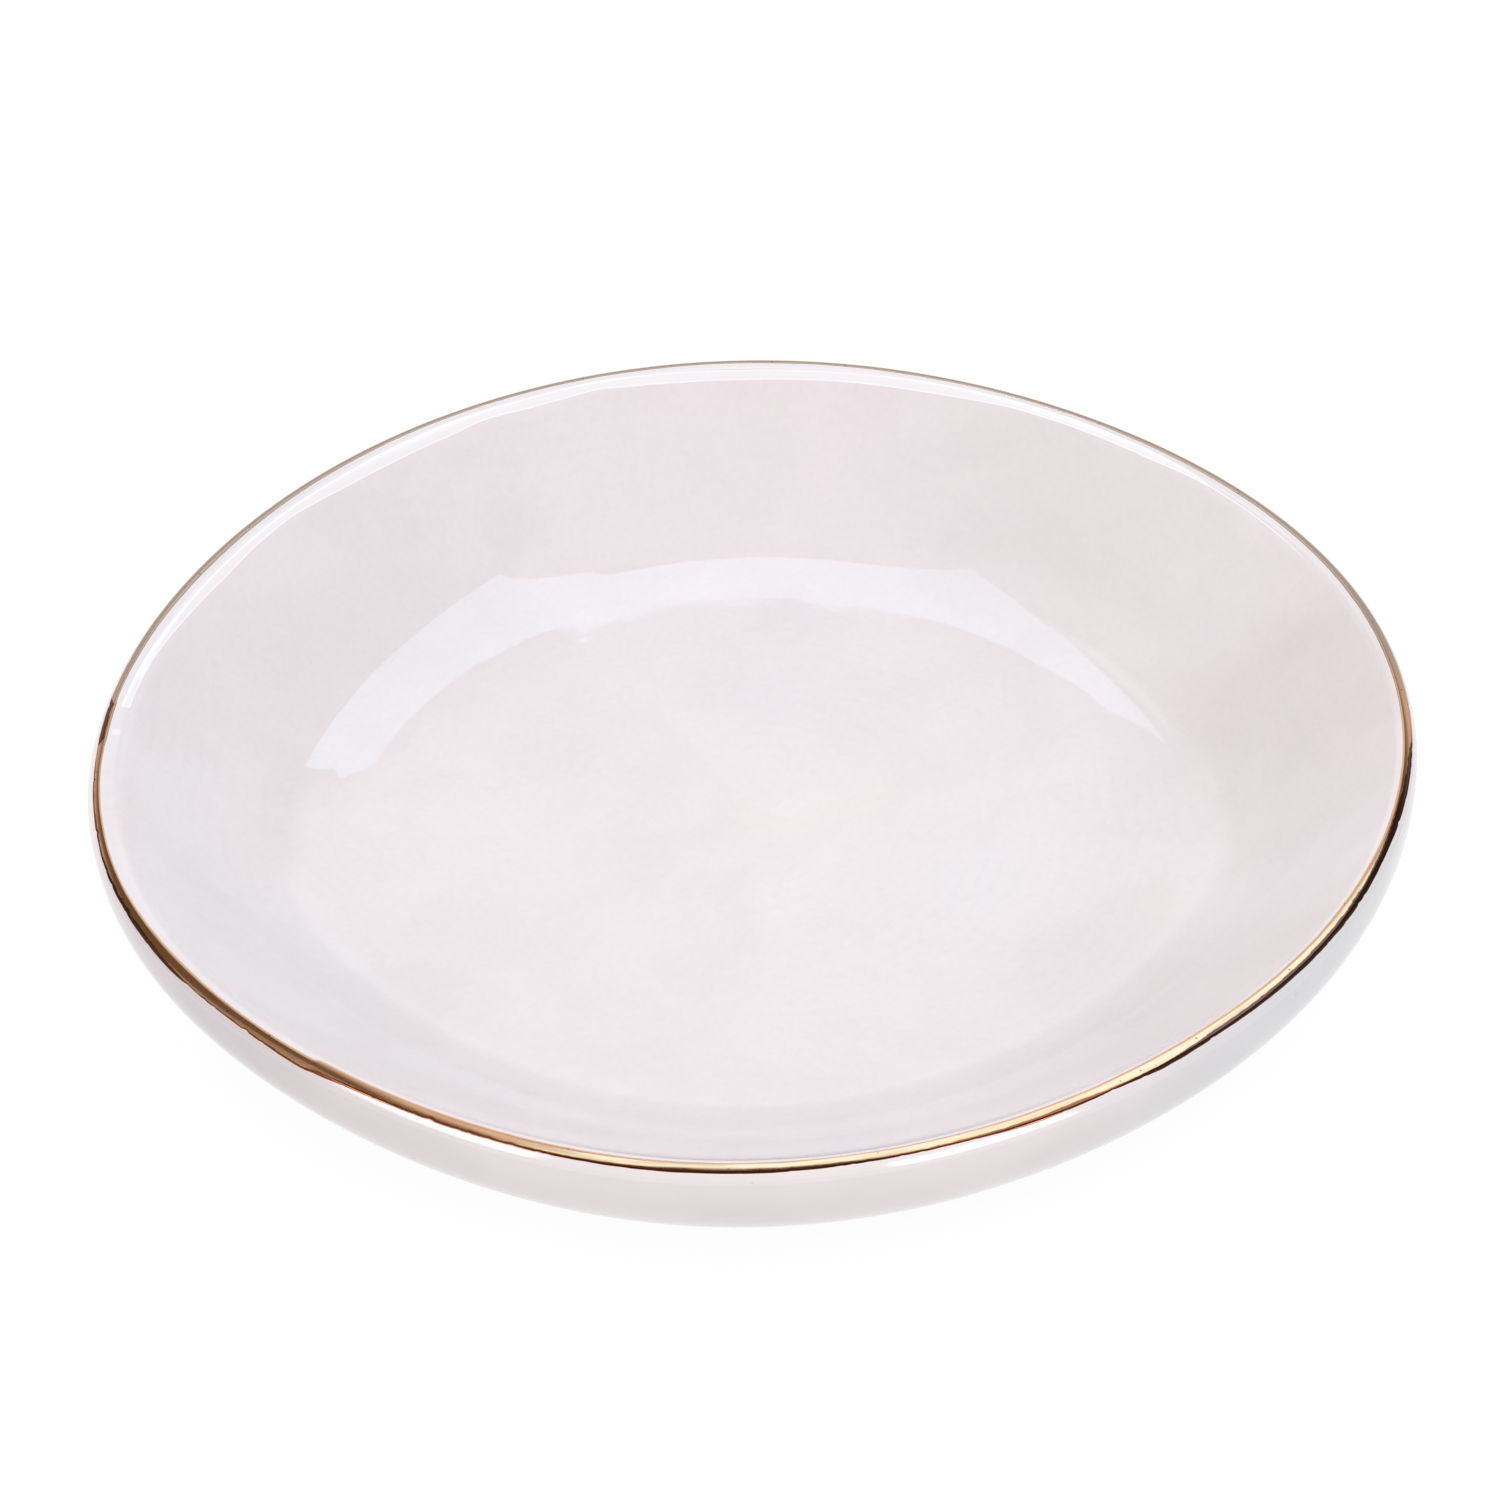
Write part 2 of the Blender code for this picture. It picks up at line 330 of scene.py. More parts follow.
def outline_middle():
    """Middle of the box around the fullest part of the wall, as the solid model has it."""
    angles = np.arange(outline_steps) * 2 * math.pi / outline_steps
    radii = np.full(outline_steps, dish_radius)
    ring = hand_formed(radii, angles, np.full(outline_steps, dish_height - lip_drop))
    return (ring.min(axis=0) + ring.max(axis=0)) / 2 * np.array((1.0, 1.0, 0.0))


def turned(name, sections, finish, marks=None):
    """A closed piece from one section for each step of the turn, or one section for all of them.

    A section runs clockwise, so that the faces look outward. One whose ends lie on the axis closes
    there, and any other closes on itself. Marks are three numbers for each point, which the
    material reads.
    """
    sections = np.array(sections)
    if sections.ndim == 2:
        sections = np.broadcast_to(sections, (turn_steps, *sections.shape))
    count, points = sections.shape[:2]
    angles = np.arange(count) * 2 * math.pi / count
    place = hand_formed(sections[..., 0], angles[:, None], sections[..., 1]) - outline_middle()
    capped = sections[0, 0, 0] == 0.0
    if capped:
        poles = [place[0, 0], place[0, -1]]
        place = place[:, 1:-1]
        marks = marks[:, 1:-1] if marks is not None else None
        points -= 2
    corners = [tuple(corner) for corner in place.reshape(-1, 3)]
    faces = []
    for turn in range(count):
        here, there = turn * points, (turn + 1) % count * points
        for step in range(points - 1 if capped else points):
            after = (step + 1) % points
            faces.append((here + step, here + after, there + after, there + step))
    if capped:
        corners += [tuple(pole) for pole in poles]
        first, last = count * points, count * points + 1
        for turn in range(count):
            here, there = turn * points, (turn + 1) % count * points
            faces.append((first, here, there))
            faces.append((last, there + points - 1, here + points - 1))
    mesh = bpy.data.meshes.new(name)
    mesh.from_pydata(corners, [], faces)
    mesh.shade_smooth()
    mesh.materials.append(finish)
    if marks is not None:
        held = np.zeros((len(corners), 4))
        held[: marks.shape[0] * marks.shape[1], :3] = marks.reshape(-1, 3)
        layer = mesh.color_attributes.new("marks", "FLOAT_COLOR", "POINT")
        layer.data.foreach_set("color", held.ravel())
    piece = bpy.data.objects.new(name, mesh)
    bpy.context.scene.collection.objects.link(piece)
    return piece


def lips():
    """The lip's section at each step of the turn."""
    return [Lip(2 * math.pi * turn / turn_steps) for turn in range(turn_steps)]


def row_values(rows, angle):
    """The values of a table's rows at an angle, between the two rows around it."""
    table = np.array(rows, dtype=float)
    degrees = math.degrees(math.remainder(angle, 2 * math.pi))
    return [np.interp(degrees, table[:, 0], column) for column in table[:, 1:].T]


def inside_glaze(finish):
    """The poured inside, from the middle over the crest to the seam under the gold.

    Its marks are millimetres inside the painted highlight band, from each of its edges and from its end.
    """
    sections = []
    marks = []
    for turn, lip in enumerate(lips()):
        angle = 2 * math.pi * turn / turn_steps
        spots = np.linspace(0.0, glaze_seam, seam_steps)
        over = [tuple(point) for point in points_at(outside_run(lip, lip.front), spots)]
        plain = [tuple(point) for point in points_at(outside_run(lip), spots)]
        finished = inside_run(lip, lip.share)[:-1] + over
        under = sunk(inside_run(lip)[:-1] + plain, coat)[::-1]
        sections.append(finished + under)
        inner, outer = row_values(highlight_band_edges, angle)
        walked = (lengths(finished) - lengths(finished)[-seam_steps] - lip.shift) / MM
        to_end = (highlight_band_end - abs(math.remainder(angle, 2 * math.pi))) * dish_radius / MM
        to_end = to_end if math.sin(angle) > 0.0 else no_mark
        mark = np.full((len(finished) + len(under), 3), no_mark)
        mark[: len(finished), 0] = walked - inner
        mark[: len(finished), 1] = outer - walked
        mark[: len(finished), 2] = to_end
        marks.append(mark)
    return turned("pearl_glaze_inside", sections, finish, np.array(marks))


def highlight_spot_place():
    """Middle of the last spot of the painted highlight on the lip, which stands by itself."""
    angle, away, _ = highlight_band_spot
    lip = Lip(angle)
    run = inside_run(lip, lip.share)
    spot = points_at(run, [lengths(run)[-1] + away])[0]
    return hand_formed(spot[0], angle, spot[1]) - outline_middle()


def outside_glaze(finish):
    """The dipped outside, from the seam under the gold to a rounded end on the foot ring."""
    bead = coat / 2
    sections = []
    for lip in lips():
        layers = []
        for run in (outside_run(lip, lip.front), outside_run(lip)):
            walked = lengths(run)
            edge = np.linspace(glaze_seam, walked[lip_steps], edge_steps)
            spots = np.concatenate((edge, walked[lip_steps + 1 :]))
            layers.append([tuple(point) for point in points_at(run, spots)])
        finished, under = layers[0], sunk(layers[1], coat)
        middle = (finished[-1][0] + under[-1][0]) / 2
        end = [
            (middle + bead * math.cos(angle), bare_foot_height + bead - bead * math.sin(angle))
            for angle in (0.0, *quarter(bead_steps), *(math.pi / 2 + turn for turn in quarter(bead_steps)))
        ]
        sections.append(finished + end + under[::-1])
    return turned("white_glaze_outside", sections, finish)


def well_glaze(finish):
    """The glaze in the hollow under the dish."""
    run = well_run()
    section = sunk(run, coat)[::-1] + run
    return turned("white_glaze_in_well", section, finish)


def clay_body(finish):
    """The clay under the coats, with its bare foot ring."""
    foot_inner_radius = foot_outer_radius - foot_width
    corner = foot_edge * foot_edge_corner
    foot = [
        (foot_outer_radius, foot_edge),
        (foot_outer_radius - corner, corner),
        (foot_outer_radius - foot_edge, 0.0),
        (foot_inner_radius + foot_edge, 0.0),
        (foot_inner_radius + corner, corner),
        (foot_inner_radius, foot_edge),
    ]
    well = sunk(well_run(), coat)
    sections = []
    for lip in lips():
        inside, outside = sunk(inside_run(lip), coat), sunk(outside_run(lip), coat)
        sections.append(inside[:-1] + outside + foot + well)
    return turned("clay_body_with_foot", sections, finish)


def wander(angle, detail, offset):
    """An even wander from -1 to 1 around the rim, whose bumps get finer with detail."""
    return noise.noise(Vector((math.cos(angle) * detail, math.sin(angle) * detail, offset)))


def gilding(finish):
    """The painted band: a thin skin on the lip with an uneven brushed edge.

    Its marks are millimetres into the dark line along the outer edge, which paints a dark reflection on
    thin gold, the share of the way across, and the tone.
    """
    shares = np.linspace(0.0, 1.0, gold_lines)
    sections = []
    marks = []
    for turn in range(gold_steps):
        angle = 2 * math.pi * turn / gold_steps
        lip = Lip(angle)
        inner = inside_run(lip, lip.share)
        whole = inner[:-1] + outside_run(lip, lip.front)
        crest = lengths(inner)[-1]
        start, end, dark_reflection_line = row_values(gold_edges, angle)
        inner_waver = wander(angle, 9.0, 1.0) + 0.6 * wander(angle, 40.0, 2.0)
        outer_waver = wander(angle, 8.0, 3.0) + wander(angle, 34.0, 4.0)
        start = start * MM + lip.shift + gold_waver * inner_waver
        end = end * MM + lip.shift + gold_waver * outer_waver
        end -= gold_nick * max(0.0, wander(angle, 70.0, 5.0) - gold_nick_start) * 2.0
        spots = crest + start + (end - start) * shares
        line = points_at(whole, spots)
        ahead = points_at(whole, spots + slope_step) - points_at(whole, spots - slope_step)
        ahead /= np.linalg.norm(ahead, axis=1)[:, None]
        outward = np.column_stack((-ahead[:, 1], ahead[:, 0]))
        height = gold_proud * np.minimum(1.0, gold_edge_rise * np.minimum(shares, 1.0 - shares)) ** 0.5
        top = line + outward * height[:, None]
        root = line - outward * gold_root
        sections.append(np.concatenate((top, root[::-1])))
        to_edge = (end - start) * (1.0 - shares) / MM
        ragged = 0.07 * wander(angle, 60.0, 6.0) + 0.05 * wander(angle, 160.0, 7.0)
        (tone,) = row_values(gold_tones, angle)
        mark = np.column_stack((dark_reflection_line + ragged - to_edge, shares, np.full(gold_lines, tone)))
        marks.append(np.concatenate((mark, mark[::-1])))
    return turned("gilded_rim", sections, finish, np.array(marks))


class Nodes:
    """A short way to write a node tree. A value is a number, a colour or another node's socket."""

    def __init__(self, tree):
        self.tree = tree

    def add(self, kind, settings=None, **inputs):
        made = self.tree.nodes.new(kind)
        for key, value in (settings or {}).items():
            setattr(made, key, value)
        for key, value in inputs.items():
            self.put(made, key.replace("_", " "), value)
        return made

    def put(self, made, key, value):
        socket = made.inputs[int(key)] if key.isdigit() else made.inputs[key]
        if isinstance(value, bpy.types.NodeSocket):
            self.tree.links.new(value, socket)
        else:
            socket.default_value = value

    def noise(self, place, scale, detail=2.0, output="Fac"):
        return self.add("ShaderNodeTexNoise", Vector=place, Scale=scale, Detail=detail).outputs[output]

    def ramp(self, value, low, high, to_low=0.0, to_high=1.0):
        """A smooth change from one number to another as the value goes from low to high."""
        made = self.add("ShaderNodeMapRange", {"interpolation_type": "SMOOTHSTEP"}, Value=value)
        for key, number in (("From Min", low), ("From Max", high), ("To Min", to_low), ("To Max", to_high)):
            self.put(made, key, number)
        return made.outputs["Result"]

    def even(self, share, none, full):
        """A straight change from one number to another as the share goes from 0 to 1."""
        return self.add("ShaderNodeMapRange", Value=share, To_Min=none, To_Max=full).outputs["Result"]

    def maths(self, kind, one, two):
        made = self.add("ShaderNodeMath", {"operation": kind})
        self.put(made, "0", one)
        self.put(made, "1", two)
        return made.outputs[0]

    def scaled(self, vector, scale):
        return self.vector("SCALE", vector, scale=scale)

    def vector(self, kind, one, two=None, scale=None):
        made = self.add("ShaderNodeVectorMath", {"operation": kind})
        self.put(made, "0", one)
        if two is not None:
            self.put(made, "1", two)
        if scale is not None:
            self.put(made, "Scale", scale)
        return made.outputs["Value" if kind == "DISTANCE" else "Vector"]

    def blend(self, share, one, two):
        made = self.add("ShaderNodeMix", {"data_type": "RGBA"})
        self.put(made, "0", share)
        for key, colour in (("6", one), ("7", two)):
            self.put(made, key, (*colour, 1.0) if isinstance(colour, tuple) else colour)
        return made.outputs[2]

    def wobbly(self, place, scale, amount):
        """The place pushed about by soft noise, so that what is drawn there gets uneven edges."""
        push = self.vector("SUBTRACT", self.noise(place, scale, 2.0, "Color"), (0.5, 0.5, 0.5))
        return self.vector("ADD", place, self.scaled(push, amount))

    def tinted(self, base, place, tints):
        """The base colour with soft patches of other tints at their places."""
        colour = base
        for across, deep, height, reach, strength, tint in tints:
            spot = (across * MM, deep * MM, height * MM)
            away = self.vector("DISTANCE", place, spot)
            share = self.ramp(away, reach * MM, reach * 0.1 * MM, 0.0, strength)
            colour = self.blend(share, colour, tint)
        return colour

    def specks(self, place, scale, size):
        """One where a tiny dark speck lies, in some of the cells."""
        cells = self.add("ShaderNodeTexVoronoi", Vector=place, Scale=scale)
        near = self.ramp(cells.outputs["Distance"], size, size * 0.5)
        chosen = self.ramp(cells.outputs["Color"], 0.62, 0.66)
        return self.maths("MULTIPLY", near, chosen)

    def bumps(self, shader, height, strength, distance):
        made = self.add("ShaderNodeBump", Height=height, Strength=strength, Distance=distance)
        self.put(shader, "Normal", made.outputs["Normal"])


def new_material(name):
    made = bpy.data.materials.new(name)
    made.use_nodes = True
    tree = made.node_tree
    return made, Nodes(tree), tree.nodes["Principled BSDF"]


# Colours
pearl_base = (0.828, 0.75, 0.77)
# the floor patches are the glaze's own mottle; most wall patches are darker than the floor, painted shade
# of the walls in the lustre's hues
pearl_tints_and_wall_shade = (
    # millimetres across, deep and up, reach, strength, tint
    (-44, 42, 15, 34, 0.65, (0.755, 0.722, 0.737)),  # far left wall, grey
    (-3, 60, 14, 30, 0.61, (0.835, 0.765, 0.785)),  # far wall, pink
    (41, 46, 15, 32, 0.65, (0.75, 0.688, 0.69)),  # far right wall, straw
    (64, 8, 15, 30, 0.68, (0.732, 0.638, 0.627)),  # right wall, brown
    (-63, 4, 15, 26, 0.61, (0.788, 0.75, 0.772)),  # left wall, grey
    (-56, -24, 14, 26, 0.61, (0.75, 0.755, 0.79)),  # near left wall, blue
    (-40, -40, 12, 22, 0.5, (0.755, 0.74, 0.762)),  # near left cove
    (46, -38, 12, 30, 0.61, (0.75, 0.667, 0.672)),  # near right wall
    (0, -58, 12, 26, 0.43, (0.79, 0.74, 0.76)),  # near wall
    (-36, 2, 7, 20, 0.43, (0.842, 0.798, 0.826)),  # left of the floor, lilac
    (-26, 6, 7, 9, 0.54, (0.845, 0.768, 0.772)),  # straw patch on the floor
    (5, 3, 6.5, 13, 0.61, (0.862, 0.785, 0.795)),  # peach patches
    (6, -13, 6.5, 10, 0.58, (0.862, 0.787, 0.793)),
    (-6, -6, 6.5, 8, 0.43, (0.855, 0.785, 0.80)),
    (27, -10, 7, 18, 0.43, (0.808, 0.782, 0.79)),  # greenish patch
    (-19, -3, 6.5, 6, 0.43, (0.80, 0.745, 0.755)),  # smudges
    (-12, -9, 6.5, 5, 0.29, (0.80, 0.75, 0.765)),
    (0, 26, 7, 18, 0.36, (0.808, 0.765, 0.795)),  # far side of the floor
)
pearl_cool = (0.988, 1.004, 1.008)  # where the lustre is thinner
pearl_ior = 1.6
# painted highlight along the lip: the colour of the band and of its edge line
highlight_white = (0.88, 0.845, 0.875)
highlight_edge_white = (0.95, 0.93, 0.95)  # the brighter edge line of the painted highlight
white_base = (0.835, 0.762, 0.775)
white_painted_shade = (
    # as in the table above
    (-50, -48, 10, 38, 0.9, (0.715, 0.632, 0.635)),  # painted shade in warm grey on the near left
    (-60, -36, 9, 30, 0.95, (0.60, 0.545, 0.575)),
    (56, -38, 10, 46, 0.9, (0.655, 0.665, 0.685)),  # painted shade in cool grey on the near right
)
clay_light = (0.80, 0.75, 0.69)
clay_deep = (0.70, 0.64, 0.57)
gold_light = (0.98, 0.62, 0.40)
gold_deep = (0.89, 0.53, 0.33)
gold_dull = (0.64, 0.52, 0.44)
# an orange fringe and a dark line along the outer edge of the gilding: painted dark reflection on thin gold
gold_fringe = (0.95, 0.48, 0.20)
thin_gold_and_dark_reflection = (0.19, 0.095, 0.068)
thin_gold_and_red_reflection = (0.36, 0.125, 0.065)


def pearl_glaze():
    made, nodes, shader = new_material("pearl_glaze_detail")
    place = nodes.add("ShaderNodeTexCoord").outputs["Object"]
    drifting = nodes.wobbly(place, 55.0, 22.0 * MM)
    # soft patches of tint: the glaze's own mottle on the floor, and painted shade that darkens the walls
    colour = nodes.tinted(pearl_base, drifting, pearl_tints_and_wall_shade)
    cloud = nodes.ramp(nodes.noise(drifting, 95.0, 5.0), 0.32, 0.68, 0.982, 1.012)
    colour = nodes.scaled(colour, cloud)
    grain = nodes.ramp(nodes.noise(place, 1300.0, 3.0), 0.32, 0.68, 0.988, 1.010)
    colour = nodes.scaled(colour, grain)
    tint = nodes.noise(nodes.wobbly(place, 30.0, 30.0 * MM), 38.0, 3.0)
    cool = nodes.vector("MULTIPLY", colour, pearl_cool)
    colour = nodes.blend(nodes.ramp(tint, 0.40, 0.62), colour, cool)
    rings = nodes.add(
        "ShaderNodeTexWave", {"wave_type": "RINGS", "rings_direction": "Z"},
        Vector=place, Scale=170.0, Distortion=11.0, Detail=3.0, Detail_Scale=0.35,
    )
    brushed = nodes.ramp(nodes.noise(place, 42.0, 1.0), 0.50, 0.66)
    stroke = nodes.maths("MULTIPLY", brushed, nodes.ramp(rings.outputs["Fac"], 0.55, 1.0))
    colour = nodes.scaled(colour, nodes.ramp(stroke, 0.0, 1.0, 1.0, 0.993))
    specks = nodes.specks(place, 330.0, 0.05)
    colour = nodes.scaled(colour, nodes.ramp(specks, 0.0, 1.0, 1.0, 0.93))
    # painted highlight: a lighter band along the far and left lip, with a brighter edge line and a spot at
    # its end, where the reflection of the softbox lies
    marks = nodes.add("ShaderNodeAttribute", {"attribute_name": "marks"}).outputs["Vector"]
    parts = nodes.add("ShaderNodeSeparateXYZ", Vector=marks)
    smallest = nodes.maths("MINIMUM", parts.outputs["X"], parts.outputs["Y"])
    smallest = nodes.maths("MINIMUM", smallest, parts.outputs["Z"])
    highlight_band = nodes.ramp(smallest, 0.0, 0.06)
    edge = nodes.maths("MULTIPLY", highlight_band, nodes.ramp(smallest, 0.26, 0.10))
    highlight_spot = tuple(highlight_spot_place())
    away = nodes.vector("DISTANCE", place, highlight_spot)
    highlight_band = nodes.maths("MAXIMUM", highlight_band, nodes.ramp(away, highlight_band_spot[2], highlight_band_spot[2] * 0.85))
    colour = nodes.blend(highlight_band, colour, highlight_white)
    colour = nodes.blend(edge, colour, highlight_edge_white)
    nodes.put(shader, "Base Color", colour)
    shader.inputs["IOR"].default_value = pearl_ior
    nodes.put(shader, "Roughness", nodes.ramp(nodes.noise(place, 160.0, 3.0), 0.35, 0.7, 0.012, 0.035))
    nodes.bumps(shader, nodes.noise(place, 240.0, 2.0), 0.015, 0.2 * MM)
    return made


def white_glaze():
    made, nodes, shader = new_material("white_glaze_detail")
    place = nodes.add("ShaderNodeTexCoord").outputs["Object"]
    drifting = nodes.wobbly(place, 50.0, 16.0 * MM)
    # painted shade: the outside comes out darker on the near left and right
    colour = nodes.tinted(white_base, drifting, white_painted_shade)
    cloud = nodes.ramp(nodes.noise(drifting, 80.0, 4.0), 0.32, 0.68, 0.975, 1.015)
    colour = nodes.scaled(colour, cloud)
    specks = nodes.specks(place, 260.0, 0.06)
    colour = nodes.scaled(colour, nodes.ramp(specks, 0.0, 1.0, 1.0, 0.86))
    nodes.put(shader, "Base Color", colour)
    nodes.put(shader, "Roughness", nodes.ramp(nodes.noise(place, 150.0, 3.0), 0.35, 0.7, 0.04, 0.10))
    nodes.bumps(shader, nodes.noise(place, 210.0, 2.0), 0.05, 0.2 * MM)
    return made


def fired_clay():
    made, nodes, shader = new_material("fired_clay_detail")
    place = nodes.add("ShaderNodeTexCoord").outputs["Object"]
    colour = nodes.blend(nodes.noise(place, 90.0, 4.0), clay_light, clay_deep)
    grain = nodes.noise(place, 1900.0, 3.0)
    colour = nodes.scaled(colour, nodes.ramp(grain, 0.30, 0.70, 0.90, 1.04))
    specks = nodes.specks(place, 900.0, 0.16)
    colour = nodes.scaled(colour, nodes.ramp(specks, 0.0, 1.0, 1.0, 0.62))
    rings = nodes.add(
        "ShaderNodeTexWave", {"wave_type": "RINGS", "rings_direction": "Z"},
        Vector=place, Scale=520.0, Distortion=1.5, Detail=2.0,
    )
    height = nodes.maths("ADD", rings.outputs["Fac"], grain)
    nodes.put(shader, "Base Color", colour)
    nodes.put(shader, "Roughness", nodes.ramp(grain, 0.30, 0.70, 0.72, 0.92))
    nodes.bumps(shader, height, 0.35, 0.05 * MM)
    return made


def bright_gold():
    made, nodes, shader = new_material("bright_gold_detail")
    place = nodes.add("ShaderNodeTexCoord").outputs["Object"]
    marks = nodes.add("ShaderNodeAttribute", {"attribute_name": "marks"}).outputs["Vector"]
    parts = nodes.add("ShaderNodeSeparateXYZ", Vector=marks)
    across = nodes.maths("MULTIPLY", parts.outputs["Y"], 3.0)
    lifted = nodes.add("ShaderNodeCombineXYZ", Z=across).outputs["Vector"]
    along = nodes.vector("ADD", nodes.scaled(place, 150.0), lifted)
    streaks = nodes.noise(along, 1.0, 4.0)
    tone = parts.outputs["Z"]
    colour = nodes.blend(nodes.ramp(streaks, 0.35, 0.68), gold_light, gold_deep)
    colour = nodes.blend(nodes.ramp(tone, 0.0, -1.0), colour, gold_dull)
    # the dark line along the outer edge, near black or red with an orange fringe: painted dark reflection
    # on thin gold
    into_line = parts.outputs["X"]
    near_line = nodes.ramp(into_line, -0.24, -0.02)
    fringe = nodes.maths("MULTIPLY", nodes.ramp(tone, 0.0, 1.0, 0.3, 0.9), near_line)
    colour = nodes.blend(fringe, colour, gold_fringe)
    line = nodes.blend(nodes.ramp(tone, 0.0, 1.0), thin_gold_and_dark_reflection, thin_gold_and_red_reflection)
    dark_reflection_line = nodes.ramp(into_line, -0.03, 0.05)
    colour = nodes.blend(dark_reflection_line, colour, line)
    pits = nodes.specks(place, 1300.0, 0.22)
    colour = nodes.scaled(colour, nodes.ramp(pits, 0.0, 1.0, 1.0, 0.45))
    nodes.put(shader, "Base Color", colour)
    shader.inputs["Metallic"].default_value = 1.0
    nodes.put(shader, "Roughness", nodes.ramp(streaks, 0.30, 0.72, 0.04, 0.14))
    nodes.bumps(shader, streaks, 0.08, 0.02 * MM)
    return made


def dress():
    """Every visible piece, on the one body, in place of its solid."""
    white = white_glaze()
    pieces = (
        (inside_glaze(pearl_glaze()), "inside_glaze", "pearl_glaze"),
        (outside_glaze(white), "outside_glaze", "white_glaze"),
        (well_glaze(white), "foot_well_glaze", "white_glaze"),
        (clay_body(fired_clay()), "clay_body", "fired_clay"),
        (gilding(bright_gold()), "gold_rim_band", "bright_gold"),
    )
    for piece, node, slot in pieces:
        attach(piece, "root")
        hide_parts(node)


# Camera
sensor_width = 36.0  # millimetres, as is the length of the lens
lens_length = 141.5
camera_place = Vector((-0.1, -494.9, 404.4)) * MM
aim_place = Vector((-0.30, -3.60, 20.04)) * MM
camera_roll = math.radians(2.01)

# Studio
softbox_light = (1.08, 1.50, 1.74)  # 1 is the white of the background
softbox_elevation = math.radians(21.7)
softbox_azimuth = math.radians(-32.1)
softbox_turn = math.radians(40.2)
softbox_outline = (
    # across and up its plane, which lies one metre from the dish
    (0.625, 0.027), (0.658, 0.067), (0.64, 0.20), (0.629, 0.333), (0.629, 0.586), (0.687, 0.411),
    (0.72, 0.275), (0.828, 0.246), (0.979, 0.369), (1.90, 0.796), (1.82, 0.72), (1.45, 0.33),
    (1.286, 0.143), (1.20, 0.05), (1.135, -0.07), (0.95, -0.02), (0.894, -0.006), (0.79, 0.014),
    (0.72, 0.012), (0.67, 0.018),
)
fill_level = 1.2
fill_distance = 1.6
fill_width = 1.2
fill_height = 0.8
fills = (
    # name, elevation, azimuth, share of the level
    ("front_fill", 40.0, 180.0, 1.0),
    ("left_fill", 30.0, -90.0, 0.8),
    ("right_fill", 30.0, 90.0, 0.8),
)
ambient_level = 0.92
stage_roughness = 0.9
table_size = 3.2
table_drop = 0.02 * MM  # below the foot
table_colour = 0.15
table_glow = 0.88  # its own light, as the camera and reflections see it
table_bounce = 0.55  # the same, as matt surfaces receive it
room_distance = 2.6
room_level = 0.14
room_warmth = 0.035  # how much less green than red it has, and again how much less blue
room_patches = (
    # elevation, azimuth, half height, half width and soft edge in degrees, then level
    (14.0, -3.0, 18.0, 46.0, 12.0, 0.46),  # backdrop
    (34.0, -95.0, 22.0, 34.0, 20.0, 0.22),  # side wall on the left
    (26.0, 88.0, 20.0, 26.0, 18.0, 0.14),  # side wall on the right
    (34.0, 0.0, 7.0, 16.0, 6.0, 0.60),  # top of the backdrop
    (33.0, -123.0, 8.0, 15.0, 4.0, 6.5),  # strip lights in front
    (33.0, 141.0, 8.0, 15.0, 4.0, 6.5),
    (60.0, -32.0, 8.0, 24.0, 10.0, 0.30),  # ceiling
    (46.0, -7.0, 4.0, 3.0, 4.0, 0.60),  # glow on the ceiling
)


def add_camera():
    forward = (aim_place - camera_place).normalized()
    right = forward.cross(Vector((0.0, 0.0, 1.0))).normalized()
    up = right.cross(forward)
    turned_right = right * math.cos(camera_roll) - up * math.sin(camera_roll)
    turned_up = right * math.sin(camera_roll) + up * math.cos(camera_roll)
    lens = bpy.data.cameras.new("camera")
    lens.sensor_width = sensor_width
    lens.lens = lens_length
    camera = bpy.data.objects.new("camera", lens)
    axes = Matrix((turned_right, turned_up, -forward)).transposed()
    camera.matrix_world = Matrix.Translation(camera_place) @ axes.to_4x4()
    bpy.context.scene.collection.objects.link(camera)
    bpy.context.scene.camera = camera


def direction(elevation, azimuth):
    """Unit vector; azimuth 0 is behind the dish and grows to the right."""
    flat = math.cos(elevation)
    return Vector((math.sin(azimuth) * flat, math.cos(azimuth) * flat, math.sin(elevation)))


def add_lamp(name, elevation, azimuth, distance, width, height, radiance):
    """A soft rectangular lamp that faces the dish."""
    away = direction(elevation, azimuth)
    lamp = bpy.data.lights.new(name, "AREA")
    lamp.shape = "RECTANGLE"
    lamp.size = width
    lamp.size_y = height
    lamp.energy = radiance * math.pi * width * height
    holder = bpy.data.objects.new(name, lamp)
    holder.location = away * distance
    holder.rotation_euler = away.to_track_quat("Z", "Y").to_euler()
    bpy.context.scene.collection.objects.link(holder)
    return holder


def add_softbox():
    """The key light behind the dish: a panel with the outline that its reflection in the dish shows."""
    facing = direction(softbox_elevation, softbox_azimuth)
    level = Vector((math.cos(softbox_azimuth), -math.sin(softbox_azimuth), 0.0))
    upright = level.cross(facing)
    side = level * math.cos(softbox_turn) + upright * math.sin(softbox_turn)
    rise = upright * math.cos(softbox_turn) - level * math.sin(softbox_turn)
    corners = [tuple(facing + side * across + rise * up) for across, up in softbox_outline]
    panel = stage_mesh("softbox", corners, [tuple(range(len(corners)))], 0.0, 1.0, softbox_light)
    panel.visible_camera = False


def add_lamps():
    add_softbox()
    for name, elevation, azimuth, share in fills:
        spot = math.radians(elevation), math.radians(azimuth)
        fill = add_lamp(name, *spot, fill_distance, fill_width, fill_height, fill_level * share)
        fill.visible_glossy = False


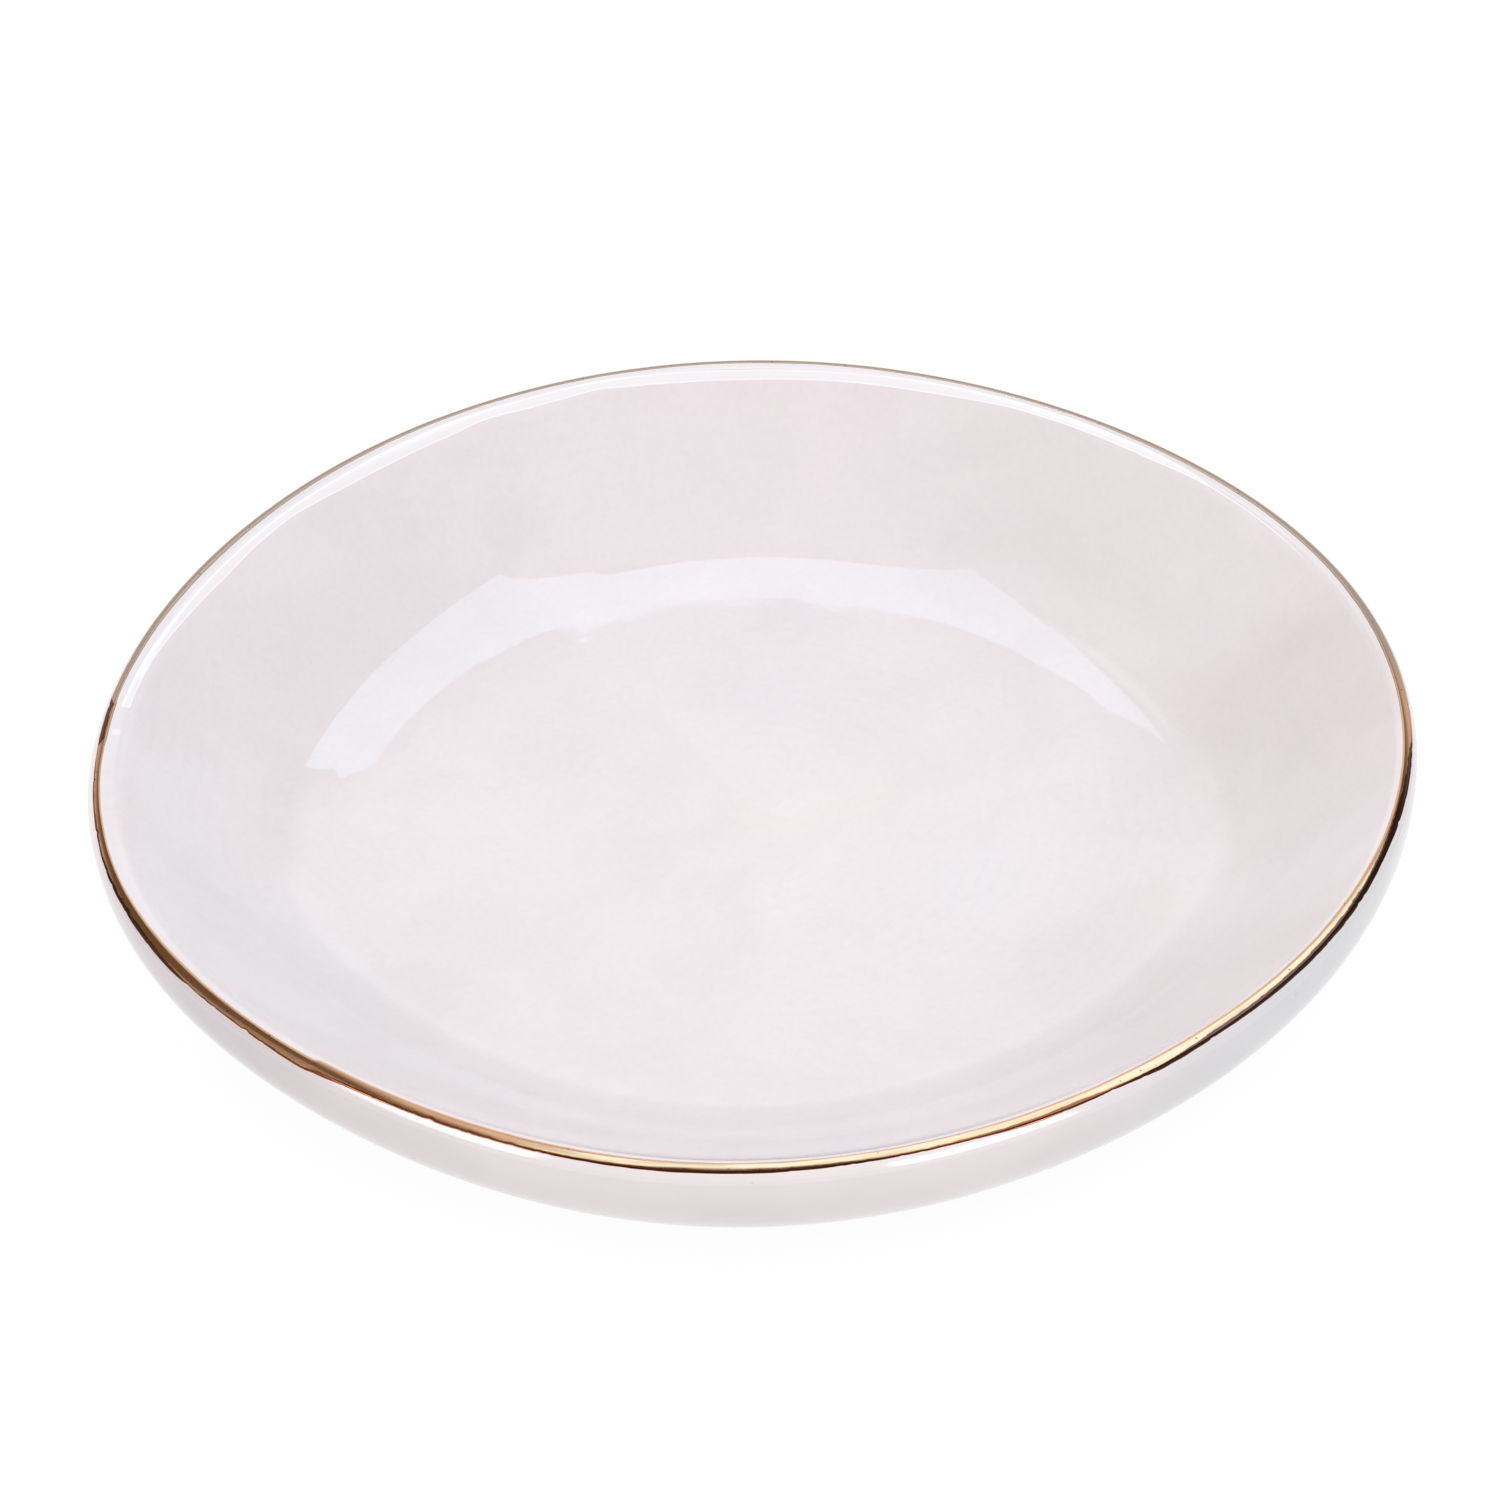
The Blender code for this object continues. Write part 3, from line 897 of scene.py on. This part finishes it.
def stage_mesh(name, corners, faces, colour, glow, light=(1.0, 1.0, 1.0)):
    """A plain matt surface of the studio, with a little light of its own."""
    mesh = bpy.data.meshes.new(name)
    mesh.from_pydata(corners, [], faces)
    surface = bpy.data.objects.new(name, mesh)
    made, _, shader = new_material(name)
    shader.inputs["Base Color"].default_value = (colour, colour, colour, 1.0)
    shader.inputs["Roughness"].default_value = stage_roughness
    shader.inputs["Specular IOR Level"].default_value = 0.0
    shader.inputs["Emission Color"].default_value = (*light, 1.0)
    shader.inputs["Emission Strength"].default_value = glow
    mesh.materials.append(made)
    bpy.context.scene.collection.objects.link(surface)
    return surface


def add_table():
    half = table_size / 2
    corners = [(-half, -half, 0.0), (half, -half, 0.0), (half, half, 0.0), (-half, half, 0.0)]
    table = stage_mesh("table", corners, [(0, 1, 2, 3)], table_colour, table_glow)
    table.location.z = -table_drop
    tree = table.data.materials[0].node_tree
    nodes = Nodes(tree)
    path = nodes.add("ShaderNodeLightPath")
    glow = nodes.even(path.outputs["Is Diffuse Ray"], table_glow, table_bounce)
    nodes.put(tree.nodes["Principled BSDF"], "Emission Strength", glow)


def room_light(elevation, azimuth):
    """How bright the room is in a direction, in degrees; every patch of it has a soft edge."""
    level = room_level
    for middle, aim, half_height, half_width, soft, extra in room_patches:
        up = (abs(elevation - middle) - half_height) / soft
        across = (abs(math.remainder(azimuth - aim, 360.0)) - half_width) / soft
        share = 1.0
        for beyond in (up, across):
            share *= smooth_step(0.0, 1.0, 0.5 - beyond)
        level += extra * share
    return level


def add_room():
    """The dim room around and above the dish, which only its reflections see."""
    corners = []
    levels = []
    for row in range(room_rows + 1):
        for column in range(room_columns):
            elevation, azimuth = 90.0 * row / room_rows, 360.0 * column / room_columns
            away = direction(math.radians(elevation), math.radians(azimuth))
            corners.append(tuple(away * room_distance))
            levels.append(room_light(elevation, azimuth))
    faces = []
    for row in range(room_rows):
        for column in range(room_columns):
            here = row * room_columns + column
            after = row * room_columns + (column + 1) % room_columns
            faces.append((here, here + room_columns, after + room_columns, after))
    room = stage_mesh("room", corners, faces, 0.0, 1.0)
    shade = room.data.color_attributes.new("level", "FLOAT_COLOR", "POINT")
    for point, level in zip(shade.data, levels):
        point.color = (level, level - room_warmth, level - 2 * room_warmth, 1.0)
    tree = room.data.materials[0].node_tree
    nodes = Nodes(tree)
    read = nodes.add("ShaderNodeAttribute", {"attribute_name": "level"})
    nodes.put(tree.nodes["Principled BSDF"], "Emission Color", read.outputs["Color"])
    room.visible_camera = False
    room.visible_diffuse = False
    room.visible_shadow = False
    room.visible_transmission = False


def add_world():
    world = bpy.data.worlds.new("world")
    bpy.context.scene.world = world
    world.use_nodes = True
    nodes = Nodes(world.node_tree)
    back = world.node_tree.nodes["Background"]
    back.inputs["Color"].default_value = (1.0, 1.0, 1.0, 1.0)
    path = nodes.add("ShaderNodeLightPath")
    seen = nodes.maths("MAXIMUM", path.outputs["Is Camera Ray"], path.outputs["Is Transmission Ray"])
    shown = nodes.maths("MAXIMUM", seen, path.outputs["Is Glossy Ray"])
    nodes.put(back, "Strength", nodes.even(shown, ambient_level, 1.0))


dress()
add_camera()
add_lamps()
add_table()
add_room()
add_world()
bpy.context.scene.view_settings.view_transform = "Standard"
